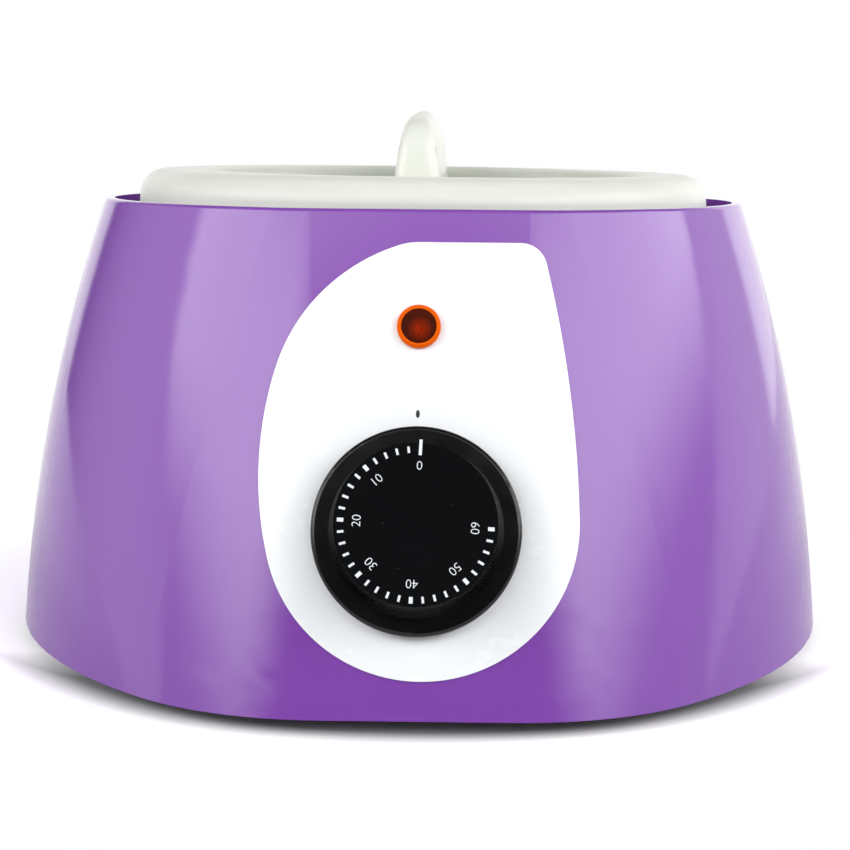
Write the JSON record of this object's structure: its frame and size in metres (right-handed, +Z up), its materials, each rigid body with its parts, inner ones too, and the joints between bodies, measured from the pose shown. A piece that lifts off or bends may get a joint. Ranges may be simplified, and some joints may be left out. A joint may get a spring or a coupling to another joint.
{
  "type": "chocolate melter",
  "caption": "Round table-top chocolate melter: tapering moulded housing with a leaning front dial and lamp, lift-out steel bowl and a lid with a fin handle.",
  "frame": {"origin": "on the floor under the middle of the overall box, on the bowl's axis", "axes": "+Z up, +Y to the back where the cord enters, the dial faces -Y"},
  "size_m": [0.23, 0.2696, 0.1472],
  "materials": {
    "housing": "glossy violet moulded plastic",
    "lid": "satin off-white moulded plastic",
    "bowl_steel": "drawn stainless steel",
    "well_aluminium": "spun aluminium",
    "knob": "black moulded plastic",
    "label": "white overlay sheet",
    "lamp_ring": "orange lamp ring",
    "lamp_lens": "dark red-brown lens",
    "inner_plastic": "natural moulded plastic",
    "black_plastic": "black moulded plastic",
    "rubber": "soft black rubber",
    "silicone": "red silicone",
    "steel": "zinc plated steel",
    "mica": "mica insulated heater",
    "fibre": "glass fibre felt",
    "copper": "copper"
  },
  "bodies": {
    "housing": {"outer_shell": "housing", "base_plate": "steel", "rubber_feet": "rubber", "foot_screws": "steel", "base_screws": "steel", "heating_well": "well_aluminium", "well_gasket": "silicone", "well_screws": "steel", "heater_disc": "mica", "heater_press_plate": "steel", "stud_nut": "steel", "insulation_wrap": "fibre", "thermal_cutout": "steel", "cutout_clip": "steel", "sensor_bulb": "copper", "bulb_clip": "steel", "front_label": "label", "pilot_lamp_ring": "lamp_ring", "pilot_lamp_lens": "lamp_lens", "pilot_lamp_body": "inner_plastic", "lamp_retaining_ring": "steel", "thermostat_plate": "steel", "thermostat_body": "inner_plastic", "thermostat_screws": "steel", "cord_gland": "black_plastic", "gland_dome_nut": "black_plastic", "gland_locknut": "black_plastic", "terminal_block": "inner_plastic", "earth_screw": "steel", "earth_nut": "steel", "capillary_tube": "copper", "live_lead": "silicone", "neutral_lead": "silicone"},
    "knob": {"control_knob": "knob", "thermostat_shaft": "steel", "knob_spring_clip": "steel"},
    "bowl": {"melting_bowl": "bowl_steel"},
    "lid": {"lid": "lid", "lid_handle": "lid", "lid_skirt": "lid"}
  },
  "joints": [
    {"name": "knob_turn", "type": "hinge", "parent": "housing", "child": "knob", "pos_m": [0, -0.11074, 0.04642], "axis": [0, 0.9532, -0.3024], "range_deg": [0, 270]},
    {"name": "bowl_lift", "type": "slide", "parent": "housing", "child": "bowl", "axis": [0, 0, 1], "range_m": [0, 0.1]},
    {"name": "lid_lift", "type": "slide", "parent": "bowl", "child": "lid", "axis": [0, 0, 1], "range_m": [0, 0.08]}
  ]
}
